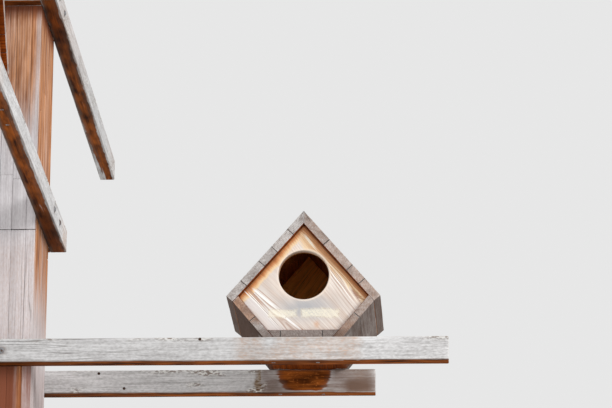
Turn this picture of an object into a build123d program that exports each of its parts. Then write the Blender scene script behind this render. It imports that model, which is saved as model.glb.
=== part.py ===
from build123d import *
import os

os.makedirs("parts", exist_ok=True)

# Dovecote on a clad timber post, in millimetres. The origin is the centre of the post's foot at ground level.
# X runs along the right-hand arms, Y away from the front, Z up.

# Post: a square core inside four cladding boards, each in a lower and an upper length
CORE_SIDE = 240.0
CLADDING = 30.0
BUTT_BELOW_FRONT_ARMS = 34.0
BUTT_GAP = 2.0
CORNER_EASE = 2.0
JOINT_EASE = 1.0

# Cap board on the post
CAP_SIDE = 350.0
CAP_THICK = 30.0
CAP_SLOPE = 8.0

# Arms and ties, all of one planed section standing on edge
ARM_THICK = 46.0
ARM_HIGH = 66.0
ARM_EASE = 2.0

# Underside of the lowest pair of arms, the steps up to the others, and the post above the last
LOWEST_LEVEL = 3490.0
LEFT_TO_RIGHT = 610.0
RIGHT_TO_FRONT = 420.0
FRONT_TO_BACK = 610.0
POST_ABOVE_ARMS = 224.0

# How far the long arm of each pair reaches beyond the post, and how much less the short one does
REACH_ACROSS = 1120.0
REACH_DEEP = 1300.0
SHORTER_BY = 205.0

# Nest box: outer widths and heights above its underside
BOX_WIDE = 416.0
BOX_DEEP = 358.0
EAVES_HIGH = 118.0
RIDGE_HIGH = 357.0
FOOT_WIDE = 210.0
ROOF_BOARD = 24.0
SIDE_BOARD = 22.0
FLOOR_BOARD = 24.0
BOARD_EASE = 1.0

# End panels, set back from the edges of the boards round them
PANEL_THICK = 27.0
PANEL_RECESS = 15.0
HOLE_DIAMETER = 136.0
HOLE_HIGH = 181.0
HOLE_EASE = 3.0

# Where each box stands on its arms: from the short arm's end to the box's middle, and off the post's middle
BOX_FROM_END = 184.0
FRONT_BOX_FROM_END = 225.0
FRONT_BOX_SHIFT = -24.0

HALF_CORE = CORE_SIDE / 2
HALF_POST = HALF_CORE + CLADDING
ARM_OUTSIDE = HALF_POST + ARM_THICK
LEFT_LEVEL = LOWEST_LEVEL
RIGHT_LEVEL = LEFT_LEVEL + LEFT_TO_RIGHT
FRONT_LEVEL = RIGHT_LEVEL + RIGHT_TO_FRONT
BACK_LEVEL = FRONT_LEVEL + FRONT_TO_BACK
POST_HEIGHT = BACK_LEVEL + ARM_HIGH + POST_ABOVE_ARMS
PARTS = {}


def keep(name, solid):
    """Names a finished piece and adds it to the model."""
    PARTS[name] = solid


def block(low, high):
    """A square-cornered block between two opposite corners."""
    size = [b - a for a, b in zip(low, high)]
    return Pos(*low) * Box(*size, align=(Align.MIN, Align.MIN, Align.MIN))


def planed(low, high, ease):
    """A block with all its edges eased, as planed timber is."""
    bar = block(low, high)
    return chamfer(bar.edges(), ease)


def placed(solid, origin, x_dir):
    """The solid moved from its own frame to one with this origin and X direction."""
    return Plane(origin=origin, x_dir=x_dir, z_dir=(0, 0, 1)).location * solid


# The post's core
keep("post_core", block((-HALF_CORE, -HALF_CORE, 0), (HALF_CORE, HALF_CORE, POST_HEIGHT)))



def cladding_board(half_width, low, high, ease):
    """A board on the core's front face, with the two upright edges that show eased."""
    board = block((-half_width, -HALF_POST, low), (half_width, -HALF_CORE, high))
    corners = board.edges().filter_by(Axis.Z).group_by(Axis.Y)[0]
    return chamfer(corners, ease)


# Cladding: front and back boards cover the edges of the side boards, and
# the butt joints of the side boards are hidden behind the middle of the front pair of arms
WIDE_BUTT = FRONT_LEVEL - BUTT_BELOW_FRONT_ARMS
SIDE_BUTT = FRONT_LEVEL + ARM_HIGH / 2
for turn, face in enumerate(("front", "right", "back", "left")):
    covers = face in ("front", "back")
    half_width = HALF_POST if covers else HALF_CORE
    butt = WIDE_BUTT if covers else SIDE_BUTT
    ease = CORNER_EASE if covers else JOINT_EASE
    for length, low, high in (("lower", 0.0, butt - BUTT_GAP), ("upper", butt, POST_HEIGHT)):
        board = cladding_board(half_width, low, high, ease)
        keep(f"cladding_{face}_{length}", Rot(0, 0, 90 * turn) * board)

# Cap: a board whose top falls slightly to all four sides
cap_edge = Pos(0, 0, POST_HEIGHT) * Box(
    CAP_SIDE, CAP_SIDE, CAP_THICK - CAP_SLOPE, align=(Align.CENTER, Align.CENTER, Align.MIN)
)
cap_top = loft(
    [
        Pos(0, 0, POST_HEIGHT + CAP_THICK - CAP_SLOPE) * Rectangle(CAP_SIDE, CAP_SIDE),
        Pos(0, 0, POST_HEIGHT + CAP_THICK) * Rectangle(CAP_SIDE / 4, CAP_SIDE / 4),
    ]
)
keep("post_cap", cap_edge + cap_top)


def arm_pair(name, level, outward, long_side, reach):
    """Two arms that clamp the post and run out one way, and the tie across their roots.

    In the pair's own frame the arms run along +X, and long_side says which side of the
    post the long arm is on, as -1 or 1 along Y.
    """
    for which, side, end in (("long", long_side, reach), ("short", -long_side, reach - SHORTER_BY)):
        near, far = sorted((side * HALF_POST, side * ARM_OUTSIDE))
        arm = planed((-ARM_OUTSIDE, near, 0), (HALF_POST + end, far, ARM_HIGH), ARM_EASE)
        keep(f"{name}_{which}_arm", placed(arm, (0, 0, level), outward))
    tie = planed((-ARM_OUTSIDE, -HALF_POST, 0), (-HALF_POST, HALF_POST, ARM_HIGH), ARM_EASE)
    keep(f"{name}_tie", placed(tie, (0, 0, level), outward))


arm_pair("left", LEFT_LEVEL, (-1, 0, 0), 1, REACH_ACROSS)
arm_pair("right", RIGHT_LEVEL, (1, 0, 0), -1, REACH_ACROSS)
arm_pair("front", FRONT_LEVEL, (0, -1, 0), 1, REACH_DEEP)
arm_pair("back", BACK_LEVEL, (0, 1, 0), -1, REACH_DEEP)


def prism(outline, front, back):
    """A board whose cross-section is the outline in X and Z, between two depths along Y."""
    face = Plane.XZ * make_face(Polyline(*outline, close=True))
    return Pos(0, back, 0) * extrude(face, back - front)


def eased_board(outline, front, back):
    """A prism with the edges of its two ends eased, so that the joints between boards show."""
    board = prism(outline, front, back)
    return chamfer(board.faces().filter_by(Axis.Y).edges(), BOARD_EASE)


def mirrored(outline):
    """The outline's mirror image about the box's middle."""
    return [(-x, z) for x, z in reversed(outline)]


# The nest box's cross-section, right-hand half, in X and Z from the middle of its underside
HALF_WIDE = BOX_WIDE / 2
HALF_FOOT = FOOT_WIDE / 2
roof_run = Vector(HALF_WIDE, EAVES_HIGH - RIDGE_HIGH).normalized()
roof_in = Vector(roof_run.Y, -roof_run.X)
eaves = Vector(HALF_WIDE, EAVES_HIGH)
eaves_inner = eaves + roof_in * ROOF_BOARD
ridge_inner = RIDGE_HIGH - ROOF_BOARD / roof_run.X

# The lower side board starts at the roof board's inner corner and butts against its underside
side_run = (Vector(HALF_FOOT, 0) - eaves_inner).normalized()
foot_inner = HALF_FOOT - SIDE_BOARD / abs(side_run.Y)


def side_inner_x(height):
    """How far out the lower side board's inner face is at a height."""
    return foot_inner + height * abs(side_run.X / side_run.Y)


# Where the inner faces of the side board and the roof board cross
roof_fall = roof_run.Y / roof_run.X
side_rise = abs(side_run.Y / side_run.X)
corner_x = (ridge_inner + foot_inner * side_rise) / (side_rise - roof_fall)
inner_corner = (corner_x, ridge_inner + corner_x * roof_fall)

ROOF = [(0, RIDGE_HIGH), (eaves.X, eaves.Y), (eaves_inner.X, eaves_inner.Y), (0, ridge_inner)]
SIDE = [(HALF_FOOT, 0), (eaves_inner.X, eaves_inner.Y), inner_corner, (foot_inner, 0)]
FLOOR = [
    (-foot_inner, 0),
    (foot_inner, 0),
    (side_inner_x(FLOOR_BOARD), FLOOR_BOARD),
    (-side_inner_x(FLOOR_BOARD), FLOOR_BOARD),
]
PANEL = [
    (side_inner_x(FLOOR_BOARD), FLOOR_BOARD),
    inner_corner,
    (0, ridge_inner),
    (-inner_corner[0], inner_corner[1]),
    (-side_inner_x(FLOOR_BOARD), FLOOR_BOARD),
]


def nest_box(name, origin, x_dir):
    """One nest box, its round entrance facing its own -Y."""
    front, back = -BOX_DEEP / 2, BOX_DEEP / 2
    panel_front = front + PANEL_RECESS
    pieces = {
        "roof_right": eased_board(ROOF, front, back),
        "roof_left": eased_board(mirrored(ROOF), front, back),
        "side_right": eased_board(SIDE, front, back),
        "side_left": eased_board(mirrored(SIDE), front, back),
        "floor": eased_board(FLOOR, front, back),
        "back_panel": prism(PANEL, back - PANEL_RECESS - PANEL_THICK, back - PANEL_RECESS),
    }
    panel = prism(PANEL, panel_front, panel_front + PANEL_THICK)
    bore = Pos(0, panel_front + PANEL_THICK / 2, HOLE_HIGH) * Rot(90, 0, 0)
    panel -= bore * Cylinder(HOLE_DIAMETER / 2, 2 * PANEL_THICK)
    rim = panel.edges().filter_by(GeomType.CIRCLE).sort_by(Axis.Y)[0]
    pieces["front_panel"] = chamfer(rim, HOLE_EASE)
    for piece, solid in pieces.items():
        keep(f"{name}_box_{piece}", placed(solid, origin, x_dir))


ACROSS = HALF_POST + REACH_ACROSS - SHORTER_BY - BOX_FROM_END
DEEP = HALF_POST + REACH_DEEP - SHORTER_BY - FRONT_BOX_FROM_END
nest_box("left", (-ACROSS, 0, LEFT_LEVEL + ARM_HIGH), (1, 0, 0))
nest_box("right", (ACROSS, 0, RIGHT_LEVEL + ARM_HIGH), (1, 0, 0))
nest_box("front", (FRONT_BOX_SHIFT, -DEEP, FRONT_LEVEL + ARM_HIGH), (0, 1, 0))

for name, solid in PARTS.items():
    solid.label = name
    export_step(solid, f"parts/{name}.step")
print(len(PARTS), "parts", Compound(children=list(PARTS.values())).bounding_box())
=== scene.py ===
"""Weathered softwood dovecote: clad post, four pairs of arms, three nest boxes.

Every board is a surface worked out with numpy: a convex section with eased corners is
carried along the board, and fine wear, glued seams and cut ends are added as whole arrays.
Lengths are metres in the part's own frame: +X to the right, +Y away, +Z up.
"""

import bpy
import numpy as np
from mathutils import Matrix, Vector


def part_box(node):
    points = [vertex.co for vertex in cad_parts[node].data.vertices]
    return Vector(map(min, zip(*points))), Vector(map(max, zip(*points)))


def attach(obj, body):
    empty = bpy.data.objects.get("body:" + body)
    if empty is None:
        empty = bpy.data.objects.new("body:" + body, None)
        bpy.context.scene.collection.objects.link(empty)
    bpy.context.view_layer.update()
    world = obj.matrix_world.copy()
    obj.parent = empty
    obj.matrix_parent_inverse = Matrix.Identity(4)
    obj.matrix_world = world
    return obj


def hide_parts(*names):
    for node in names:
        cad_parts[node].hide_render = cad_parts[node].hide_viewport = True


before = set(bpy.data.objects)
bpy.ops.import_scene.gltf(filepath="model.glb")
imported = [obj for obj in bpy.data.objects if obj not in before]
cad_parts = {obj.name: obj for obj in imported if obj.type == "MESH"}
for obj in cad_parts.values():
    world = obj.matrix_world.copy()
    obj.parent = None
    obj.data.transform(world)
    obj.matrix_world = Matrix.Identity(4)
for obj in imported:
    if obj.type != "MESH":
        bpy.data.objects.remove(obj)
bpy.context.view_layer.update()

X, Y, Z = np.eye(3)
MIRROR = np.array([-1, 1])

# How much corners are rounded: box boards, arms and post, cap, and both sides of a glued seam
BOARD_EASE, ARM_EASE, CAP_EASE, SEAM_EASE = 0.0016, 0.0024, 0.003, 0.0009
# Half the gap of a butt joint within a stave, and how uneven the staves' ends are
BUTT_GAP, UNEVEN_ENDS = 0.0002, 0.0009
# How far the rings of points along a board keep clear of its eased ends
CLEAR_OF_ENDS = 0.002
ARM_HIGH, ARM_THICK = 0.066, 0.046
# How far apart in the tree neighbouring staves come from, along the grain and across it
STAVES_APART = np.array([5.0, 0.31, 0.07])

# The nest box's section, as its boards are cut
HALF_WIDE, EAVES_HIGH, RIDGE_HIGH, HALF_FOOT = 0.208, 0.118, 0.357, 0.105
ROOF_BOARD, SIDE_BOARD, FLOOR_BOARD, PANEL_THICK, PANEL_RECESS = 0.024, 0.022, 0.024, 0.027, 0.015
BOX_DEEP, BOX_MIDDLE, HOLE_RADIUS, HOLE_HIGH, HOLE_EASE = 0.358, 0.16, 0.068, 0.181, 0.004

# A distance beyond everything on a box
FAR_OFF = 9.0

# Odd numbers that scatter a lattice point's coordinates, and that stir the bits of the result
SCATTER, STIR = (73856093, 19349663, 83492791), (1274126177, 668265263)
SEED_STEP, SEED_START = 40503, 977


# Numbers that vary smoothly over the wood

def lattice_value(i, seed):
    """A fixed number from 0 to 1 for each whole-number lattice point: its coordinates times large odd
    numbers, combined bit by bit with the seed and stirred by shifts and products."""
    n = i[..., 0] * SCATTER[0] ^ i[..., 1] * SCATTER[1] ^ i[..., 2] * SCATTER[2]
    n = (n ^ (seed * SEED_STEP + SEED_START)) & 0xFFFFFFFF
    n = (n ^ (n >> 13)) * STIR[0] & 0xFFFFFFFF
    n = (n ^ (n >> 15)) * STIR[1] & 0xFFFFFFFF
    return ((n ^ (n >> 16)) & 0xFFFFFF) / float(0xFFFFFF)


def smooth_noise(p, scale, seed):
    """Value noise: lattice values joined by a smooth cubic between the eight points round p."""
    q = p * np.asarray(scale)
    i = np.floor(q).astype(np.int64)
    f = q - i
    f = f * f * (3 - 2 * f)
    total = np.zeros(p.shape[:-1])
    for corner in np.ndindex(2, 2, 2):
        c = np.array(corner)
        weight = np.prod(np.where(c == 1, f, 1 - f), axis=-1)
        total += weight * lattice_value(i + c, seed)
    return total


def ramp(low, high, x):
    """0 below low, 1 above high, and a smooth cubic between."""
    t = np.clip((x - low) / (high - low), 0, 1)
    return t * t * (3 - 2 * t)


def window(start, full, fading, end, x):
    """A ramp from 0 at the start up to 1 at full, times one from 1 at fading down to 0 at the end."""
    return ramp(start, full, x) * ramp(end, fading, x)


def hump(value, middle, half, soft):
    """1 within half of the middle, falling smoothly to 0 over a soft width beyond."""
    return ramp(half + soft, half, np.abs(value - middle))


# Meshes

def mesh_piece(name, verts, quads, tris, fields, material, slot, nodes):
    """One mesh object from whole arrays. fields are per-vertex attributes: a vector or a number each."""
    mesh = bpy.data.meshes.new(name)
    mesh.vertices.add(len(verts))
    mesh.vertices.foreach_set("co", verts.astype(np.float32).ravel())
    loops = np.concatenate([quads.ravel(), tris.ravel()]).astype(np.int32)
    sizes = np.concatenate([np.full(len(quads), 4), np.full(len(tris), 3)])
    mesh.loops.add(len(loops))
    mesh.loops.foreach_set("vertex_index", loops)
    mesh.polygons.add(len(sizes))
    mesh.polygons.foreach_set("loop_start", (np.cumsum(sizes) - sizes).astype(np.int32))
    mesh.polygons.foreach_set("use_smooth", np.ones(len(sizes), bool))
    for key, values in fields.items():
        kind, part = ("FLOAT_VECTOR", "vector") if values.ndim == 2 else ("FLOAT", "value")
        mesh.attributes.new(key, kind, "POINT").data.foreach_set(part, values.astype(np.float32).ravel())
    mesh.update()
    mesh.validate()
    mesh.materials.append(material)
    piece = bpy.data.objects.new(name, mesh)
    bpy.context.scene.collection.objects.link(piece)
    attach(piece, "root")
    if nodes:
        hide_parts(*nodes)


def cut_section(corners, seams):
    """A convex section cut by its seams into staves: each line keeps the corners on either side of it and
    adds the two points where it crosses the sides.

    A seam is a point and a unit normal. Each stave is its corners, counter-clockwise, and for
    each side whether it is glued to a neighbour.
    """
    corners = np.asarray(corners, float)
    x, y = corners.T
    if np.sum(x * np.roll(y, -1) - y * np.roll(x, -1)) < 0:
        corners = corners[::-1]
    staves = [(corners, [False] * len(corners))]
    for point, normal in seams:
        parts = []
        for polygon, glued in staves:
            beyond = (polygon - point) @ normal
            for side in (-1, 1):
                kept, marks = [], []
                for i, here in enumerate(side * beyond):
                    after = (i + 1) % len(polygon)
                    there = side * beyond[after]
                    if here > 0:
                        kept.append(polygon[i])
                        marks.append(glued[i])
                    if here * there < 0:
                        kept.append(polygon[i] + (polygon[after] - polygon[i]) * here / (here - there))
                        marks.append(here > 0 or glued[i])
                if kept:
                    parts.append((np.array(kept), marks))
        staves = parts
    return staves


def section_ring(corners, glued, ease, step):
    """Points round a convex section: sides sampled evenly, each corner a short quadratic curve.

    Glued sides need few points, and their corners are eased only enough to show the seam.
    Returns the points, their outward normals and arris (1 on the outer corners, -1 in a glued seam).
    """
    runs = np.roll(corners, -1, axis=0) - corners
    lengths = np.hypot(*runs.T)
    dirs = runs / lengths[:, None]
    outs = np.stack([dirs[:, 1], -dirs[:, 0]], -1)
    eased = [SEAM_EASE if glued[i - 1] or glued[i] else ease for i in range(len(corners))]
    t = np.array([[0.25], [0.5], [0.75]])
    points, normals, arris = [], [], []
    for i, length in enumerate(lengths):
        after = (i + 1) % len(corners)
        count = max(2, int(round(length / (step * (3 if glued[i] else 1)))) + 1)
        at = np.linspace(eased[i], length - eased[after], count)
        start, end = corners[after] - eased[after] * dirs[i], corners[after] + eased[after] * dirs[after]
        mixed = (1 - t) * outs[i] + t * outs[after]
        points += [corners[i] + at[:, None] * dirs[i],
                   (1 - t) ** 2 * start + 2 * t * (1 - t) * corners[after] + t ** 2 * end]
        normals += [np.tile(outs[i], (count, 1)), mixed / np.linalg.norm(mixed, axis=1, keepdims=True)]
        arris += [np.full(count, -1.0 * glued[i]), np.full(3, -1.0 if glued[i] or glued[after] else 1.0)]
    return np.vstack(points), np.vstack(normals), np.concatenate(arris)


def tube_faces(rings, around):
    """Quads between neighbouring rings and a fan at each pole, for vertices laid pole, rings, pole."""
    k, m = np.meshgrid(np.arange(rings - 1), np.arange(around), indexing="ij")
    n = (m + 1) % around
    quads = np.stack([1 + k * around + m, 1 + k * around + n,
                      1 + (k + 1) * around + n, 1 + (k + 1) * around + m], -1).reshape(-1, 4)
    m = np.arange(around)
    n = (m + 1) % around
    last = 1 + (rings - 1) * around
    first_fan = np.stack([np.zeros(around, int), 1 + n, 1 + m], -1)
    last_fan = np.stack([np.full(around, last + around), last + m, last + n], -1)
    return quads, np.vstack([first_fan, last_fan])


def stave_tube(section, s, axes, ease, relief, wear, caps, rise, seed):
    """One stave: a closed tube through the places s along it. Each end is drawn in to its middle.

    A ring's points are the section's, moved inwards by the end's easing, by the raised grain
    (noise stretched along the stave) and, at the corners, by wear. Returns places, normals and arris.
    """
    ring, outward, arris = section
    middle = ring.mean(0)
    length = s[-1]
    draw, ends, tip = np.array([0.97, *caps]), ease * np.array([0, 0.35, 1.0]), np.zeros(len(caps) + 1)
    place = np.concatenate([s[0] + tip, s[0] + ends, s[1:-1], length - ends[::-1], tip + length])
    inset = 0.8 * np.concatenate([tip + ease, ends[::-1], 0 * s[1:-1], ends, tip + ease])
    t = np.concatenate([draw[::-1], np.ones(len(s) + 4), draw])
    rings = len(place)
    local = np.empty((rings, len(ring), 3))
    local[..., 0] = place[:, None]
    local[..., 1:] = ring
    fine, broad = smooth_noise(local, (5, 190, 190), seed), smooth_noise(local, (1.7, 28, 28), seed + 1)
    rough = 0.6 * fine + 0.4 * broad
    chipped = wear * smooth_noise(local, (22, 60, 60), seed + 2) ** 2 * np.maximum(arris, 0)
    flat = ring - outward * (inset[:, None] + relief * rough + chipped)[..., None]
    local[..., 1:] = middle + (flat - middle) * t[:, None, None]
    last = np.arange(rings) > rings // 2
    local[..., 0] += (last * rise * np.clip((1 - t) / 0.75, 0, 1))[:, None]
    normals = np.zeros(local.shape)
    normals[..., 1:] = outward
    normals[: len(draw)], normals[-len(draw):] = (-1, 0, 0), (1, 0, 0)
    at = np.vstack([[[s[0], *middle]], local.reshape(-1, 3), [[length + rise, *middle]]]) @ axes
    facing = np.vstack([[[-1, 0, 0]], normals.reshape(-1, 3), [[1, 0, 0]]]) @ axes
    edge = np.where(arris < 0, arris, np.maximum(arris, (inset > 0)[:, None])) * (t > 0.98)[:, None]
    return at, facing, np.concatenate([[0], edge.ravel(), [0]]), rings


def timber(name, corners, origin, axes, length, look, seed, weather, nodes, ease=BOARD_EASE, step=0.004,
           along=0.012, seams=(), joints=(), relief=0.0005, wear=0.0008, caps=(0.7, 0.35), rise=0.0,
           bright=1.0, ink=1.0, grain=None, pith=(0.03, -0.12)):
    """A board: its section carried along axes[0], in one piece or as glued staves.

    Seams cut the section into staves, and joints, each a stave's number and a distance along,
    cut a stave again. Each stave has a tone of its own and comes from its own place in the tree:
    the grain field is that place, along the grain and across it from the pith. step and along set the
    points' distance round and along the board, caps how the end faces draw in, rise how far the far end
    domes, bright how pale the worn corners are, which is wear and, the more they face up, painted
    highlight, and ink how dark the seams.
    """
    axes, grain = np.array(axes), np.array(axes if grain is None else grain)
    if np.isscalar(along):
        along = np.linspace(0, length, max(3, int(round(length / along)) + 1))
    many = len(seams) > 0
    gathered, start = [], 0
    for number, (polygon, glued) in enumerate(cut_section(corners, seams)):
        section = section_ring(polygon, glued, ease, step)
        stops = [0.0, *sorted(at for k, at in joints if k == number), length]
        for run, (low, high) in enumerate(zip(stops, stops[1:])):
            own = np.array([number, run, seed])
            tone = lattice_value(own, 7)
            low += BUTT_GAP if run else UNEVEN_ENDS * lattice_value(own, 8) * many
            high -= BUTT_GAP if high < length else UNEVEN_ENDS * lattice_value(own, 9) * many
            clear = along[(along > low + ease + CLEAR_OF_ENDS) & (along < high - ease - CLEAR_OF_ENDS)]
            at, facing, edge, rings = stave_tube(section, np.array([low, *clear, high]), axes,
                                                 SEAM_EASE if many else ease, relief, wear, caps, rise, seed)
            inside = at @ grain.T + (seed * 3.17 % 19, *pith) + many * tone * STAVES_APART
            quads, tris = tube_faces(rings, len(section[0]))
            at = origin + at
            # Worn corners paler the more they face up: wear, and painted highlight
            edge *= np.where(edge > 0, bright * (0.55 + 0.45 * facing[:, 2]), ink)
            fields = {"grain": inside, "stave": 0 * edge + tone, "arris": edge,
                      "cut": ramp(0.6, 0.9, np.abs(facing @ axes[0])), **weather(at, facing)}
            gathered.append((at, quads + start, tris + start, fields))
            start += len(at)
    fields = {key: np.concatenate([part[3][key] for part in gathered]) for key in gathered[0][3]}
    verts, quads, tris = (np.vstack([part[i] for part in gathered]) for i in range(3))
    mesh_piece(name, verts, quads, tris, fields, *look, nodes)


def node_box(node):
    """A CAD node's low and high corners as arrays."""
    return np.array([list(corner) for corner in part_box(node)])


def straight_board(node, u_axis, look, seed, weather, **how):
    """A rectangular board in place of a CAD node: the node's own rectangle carried along a frame's axis."""
    ends = node_box(node)
    v_axis = X if abs(u_axis[2]) > 0.5 else np.cross(Z, u_axis)
    w_axis = np.cross(u_axis, v_axis)
    u, v, w = (np.sort(ends @ a) for a in (u_axis, v_axis, w_axis))
    corners = [(v[0], w[0]), (v[1], w[0]), (v[1], w[1]), (v[0], w[1])]
    timber(node.title(), corners, u[0] * u_axis, (u_axis, v_axis, w_axis), u[1] - u[0], look, seed, weather,
           [node], **how)


def lathe(name, profile, spots, axis, look, turns=18):
    """Turned pieces, one at each spot: the profile's (radius, height) points carried round an axis.

    The point at angle a is spot + height * axis + radius * (cos a, sin a) in the plane across it.
    """
    r, h = np.array(profile).T
    side = np.cross(axis, Z if abs(axis[2]) < 0.5 else X)
    other = np.cross(axis, side)
    a = np.linspace(0, 2 * np.pi, turns, endpoint=False)
    circle = np.cos(a)[:, None] * side + np.sin(a)[:, None] * other
    one = h[:, None, None] * axis + r[:, None, None] * circle[None]
    spots = np.asarray(spots, float)
    poles = h[[0, -1], None] * axis
    shape = np.vstack([poles[:1], one.reshape(-1, 3), poles[1:]])
    verts = (spots[:, None] + shape[None]).reshape(-1, 3)
    quads, tris = tube_faces(len(r), turns)
    step = (np.arange(len(spots)) * len(shape))[:, None, None]
    quads, tris = (step + quads[None]).reshape(-1, 4), (step + tris[None]).reshape(-1, 3)
    mesh_piece(name, verts, quads, tris, {}, *look, None)


# Materials

def srgb(red, green, blue):
    """A colour given in everyday 0 to 255 values, as the linear values that the shader takes."""
    c = np.array([red, green, blue]) / 255.0
    c = np.where(c <= 0.04045, c / 12.92, ((c + 0.055) / 1.055) ** 2.4)
    return (*[float(v) for v in c], 1.0)


class Nodes:
    """Short ways to add and join nodes in one tree."""

    def __init__(self, tree):
        self.tree = tree

    def add(self, kind, **settings):
        node = self.tree.nodes.new(kind)
        for key, value in settings.items():
            setattr(node, key, value)
        return node

    def put(self, target, value):
        """Links a socket or sets a value. A colour of three numbers is in everyday 0 to 255 values."""
        if isinstance(value, bpy.types.NodeSocket):
            self.tree.links.new(value, target)
        elif target.type == "RGBA" and len(value) == 3:
            target.default_value = srgb(*value)
        else:
            target.default_value = value

    def fed(self, kind, values, **settings):
        """A node with its inputs given, by their order in a list or by their names in a dictionary."""
        node = self.add(kind, **settings)
        for key, value in values.items() if isinstance(values, dict) else enumerate(values):
            self.put(node.inputs[key], value)
        return node

    def math(self, operation, *values, clamp=False):
        return self.fed("ShaderNodeMath", values, operation=operation, use_clamp=clamp).outputs[0]

    def plus(self, a, b):
        return self.math("ADD", a, b)

    def minus(self, a, b):
        return self.math("SUBTRACT", a, b)

    def larger(self, a, b):
        return self.math("MAXIMUM", a, b)

    def off(self, value, middle):
        """How far a value is from a middle, either way."""
        return self.math("ABSOLUTE", self.minus(value, middle))

    def times(self, *factors):
        """The product of numbers or sockets."""
        out = factors[0]
        for factor in factors[1:]:
            out = self.math("MULTIPLY", out, factor)
        return out

    def about(self, noise, gain):
        """A noise's swing about a half, times its gain."""
        return self.times(self.minus(noise, 0.5), gain)

    def swing(self, base, *terms):
        """base plus the swings of its (noise, gain) pairs, kept in 0 to 1."""
        total = base
        for noise, gain in terms:
            total = self.plus(total, self.about(noise, gain))
        return self.math("ADD", total, 0.0, clamp=True)

    def vector(self, operation, *values):
        node = self.fed("ShaderNodeVectorMath", values, operation=operation)
        return node.outputs["Value" if operation == "LENGTH" else "Vector"]

    def scaled(self, vector, factors):
        return self.vector("MULTIPLY", vector, factors)

    def apart(self, vector, centre, factors):
        """The distance between a vector and a centre, each axis scaled."""
        return self.vector("LENGTH", self.scaled(self.vector("SUBTRACT", vector, centre), factors))

    def parts(self, vector):
        """A vector's first, second and third number."""
        return self.fed("ShaderNodeSeparateXYZ", [vector]).outputs

    def noise(self, vector, stretch, detail=2.0, rough=0.55):
        """Noise over a vector that is first scaled by stretch, one number or one for each axis."""
        place = self.scaled(vector, stretch if isinstance(stretch, tuple) else (stretch, stretch, stretch))
        given = {"Vector": place, "Scale": 1.0, "Detail": detail, "Roughness": rough}
        return self.fed("ShaderNodeTexNoise", given).outputs["Fac"]

    def band(self, value, low, high, to_low=0.0, to_high=1.0):
        """to_low where the value is at low, to_high where it is at high, and a smooth cubic between."""
        given = {"Value": value, "From Min": low, "From Max": high, "To Min": to_low, "To Max": to_high}
        return self.fed("ShaderNodeMapRange", given, interpolation_type="SMOOTHSTEP").outputs["Result"]

    def window(self, value, start, full, fading, end):
        """A band from 0 at the start up to 1 at full, times one from 1 at fading down to 0 at the end."""
        return self.times(self.band(value, start, full), self.band(value, end, fading))

    def blend(self, factor, a, b, mode="MIX"):
        given = {0: factor, 6: a, 7: b}
        return self.fed("ShaderNodeMix", given, data_type="RGBA", blend_type=mode).outputs[2]

    def layers(self, colour, *coats):
        """A colour with coats laid over it in turn, each a mask and its colour."""
        for mask, over in coats:
            colour = self.blend(mask, colour, over)
        return colour

    def toned(self, colour, tone):
        """A colour made lighter or darker by a number."""
        return self.blend(1.0, colour, tone, "MULTIPLY")

    def field(self, name, kind="Fac"):
        return self.add("ShaderNodeAttribute", attribute_name=name).outputs[kind]

    def own_place(self):
        """The point's place in its object's own frame."""
        return self.add("ShaderNodeTexCoord").outputs["Object"]

    def group(self, tree, **given):
        """A node group with its inputs set; underscores stand for spaces in their names."""
        given = {key.replace("_", " "): value for key, value in given.items()}
        return self.fed("ShaderNodeGroup", given, node_tree=tree).outputs


def new_group(name, numbers, colours, outputs):
    """An empty node group that takes a Place, numbers with their usual values and colours. Returns it,
    its short ways to add nodes, and the sockets at its two ends."""
    tree = bpy.data.node_groups.new(name, "ShaderNodeTree")
    tree.interface.new_socket(name="Place", in_out="INPUT", socket_type="NodeSocketVector")
    for key, value in numbers.items():
        made = tree.interface.new_socket(name=key, in_out="INPUT", socket_type="NodeSocketFloat")
        made.default_value = value
    for key in colours:
        tree.interface.new_socket(name=key, in_out="INPUT", socket_type="NodeSocketColor")
    for key in outputs:
        kind = "NodeSocketColor" if key == "Color" else "NodeSocketFloat"
        tree.interface.new_socket(name=key, in_out="OUTPUT", socket_type=kind)
    n = Nodes(tree)
    return tree, n, n.add("NodeGroupInput").outputs, n.add("NodeGroupOutput").inputs


# Noises of the wood's figure: stretch along and across the grain, detail and roughness
FIGURE_NOISES = {"Fibre": (12.0, 480.0, 2.0, 0.6), "Streak": (5.0, 150.0, 3.0, 0.65),
                 "Fleck": (90.0, 210.0, 2.0, 0.6), "Blotch": (6.0, 26.0, 3.0, 0.6),
                 "Cloud": (14.0, 46.0, 1.0, 0.5)}


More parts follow.
